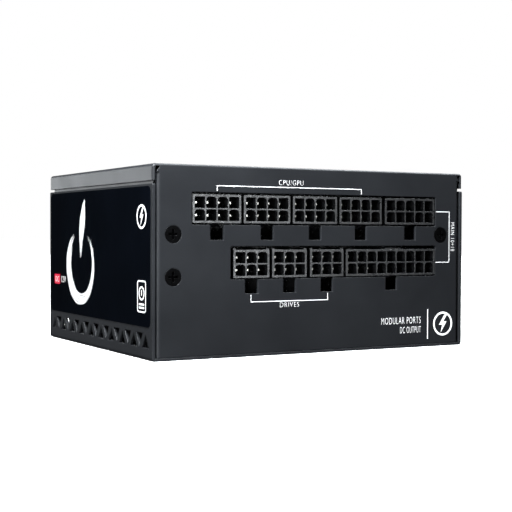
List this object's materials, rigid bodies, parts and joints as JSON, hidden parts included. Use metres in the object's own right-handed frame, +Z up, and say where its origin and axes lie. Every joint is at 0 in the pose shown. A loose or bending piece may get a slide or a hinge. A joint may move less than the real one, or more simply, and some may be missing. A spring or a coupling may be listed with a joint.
{
  "type": "power supply unit",
  "caption": "Compact modular computer power supply: folded steel case with nine cable sockets on one end, mains inlet and rocker switch on the other, fan and guard underneath.",
  "frame": {"origin": "centre of the base plate's outer face, on the fan's axis", "axes": "+Z up with the fan side down, -Y out of the connector panel, +Y out of the mains inlet, +X to the right looking along +Y"},
  "size_m": [0.1254, 0.1033, 0.0636],
  "materials": {
    "case_paint": "satin black powder paint",
    "guard_paint": "satin black powder paint",
    "socket_plastic": "satin black nylon",
    "contact_tin": "bright tin plate",
    "black_screw": "black oxide",
    "label_film": "printed satin film",
    "fan_plastic": "satin black moulding",
    "steel": "zinc plate",
    "magnet": "bonded ferrite",
    "bronze": "sintered bronze",
    "lamination": "lacquered electrical steel",
    "copper": "enamelled or bare copper",
    "board": "solder-masked glass laminate",
    "wire_black": "black insulation",
    "wire_earth": "green insulation",
    "white_nylon": "natural nylon",
    "inlet_plastic": "black moulding",
    "insulation_film": "polyester film",
    "capacitor_sleeve": "shrink sleeve over an aluminium can",
    "film_capacitor": "moulded box",
    "ceramic_blue": "dipped ceramic",
    "fuse_glass": "clear glass with metal caps",
    "relay_case": "moulded case",
    "heatsink": "mill finish",
    "epoxy": "moulded epoxy",
    "winding_tape": "polyester tape over windings"
  },
  "bodies": {
    "case": {"ac_inlet": "inlet_plastic", "bridge_rectifier": "epoxy", "bulk_capacitor": "capacitor_sleeve", "bus_bars": "copper", "chassis_shell": "case_paint", "contact_pins": "contact_tin", "control_board": "board", "cover_screws": "black_screw", "earth_lead": "wire_earth", "earth_nut": "steel", "eight_pin_socket_1": "socket_plastic", "eight_pin_socket_2": "socket_plastic", "eight_pin_socket_3": "socket_plastic", "eight_pin_socket_4": "socket_plastic", "eighteen_pin_socket": "socket_plastic", "fan_bearing": "bronze", "fan_circuit": "board", "fan_cover": "case_paint", "fan_frame": "fan_plastic", "fan_guard": "guard_paint", "fan_lead": "wire_black", "fan_plug": "white_nylon", "fan_screws": "black_screw", "fan_stator": "lamination", "fan_windings": "copper", "fuse": "fuse_glass", "inlet_blades": "contact_tin", "inrush_relay": "relay_case", "insulating_sheet": "insulation_film", "left_label": "label_film", "line_chokes": "copper", "main_board": "board", "main_board_screws": "steel", "main_board_spacers": "steel", "mains_wires": "wire_black", "modular_board": "board", "modular_board_spacers": "steel", "output_capacitors": "capacitor_sleeve", "panel_screws": "black_screw", "pfc_choke": "copper", "power_transistors": "epoxy", "primary_heatsink": "heatsink", "rating_label": "label_film", "right_label": "label_film", "secondary_heatsink": "heatsink", "six_pin_socket_1": "socket_plastic", "six_pin_socket_2": "socket_plastic", "six_pin_socket_3": "socket_plastic", "standby_transformer": "winding_tape", "switch_housing": "inlet_plastic", "switch_terminals": "contact_tin", "ten_pin_socket": "socket_plastic", "transformer_core": "magnet", "transformer_windings": "winding_tape", "x_capacitors": "film_capacitor", "y_capacitors": "ceramic_blue"},
    "rotor": {"fan_rotor": "fan_plastic", "fan_shaft": "steel", "fan_magnet": "magnet"},
    "rocker": {"switch_rocker": "inlet_plastic"}
  },
  "joints": [
    {"name": "fan_spin", "type": "hinge", "parent": "case", "child": "rotor", "pos_m": [0, 0, 0.008], "axis": [0, 0, 1], "continuous": true},
    {"name": "switch_rock", "type": "hinge", "parent": "case", "child": "rocker", "pos_m": [0.014, 0.0474, 0.034], "axis": [-1, 0, 0], "range_deg": [0, 20]}
  ]
}
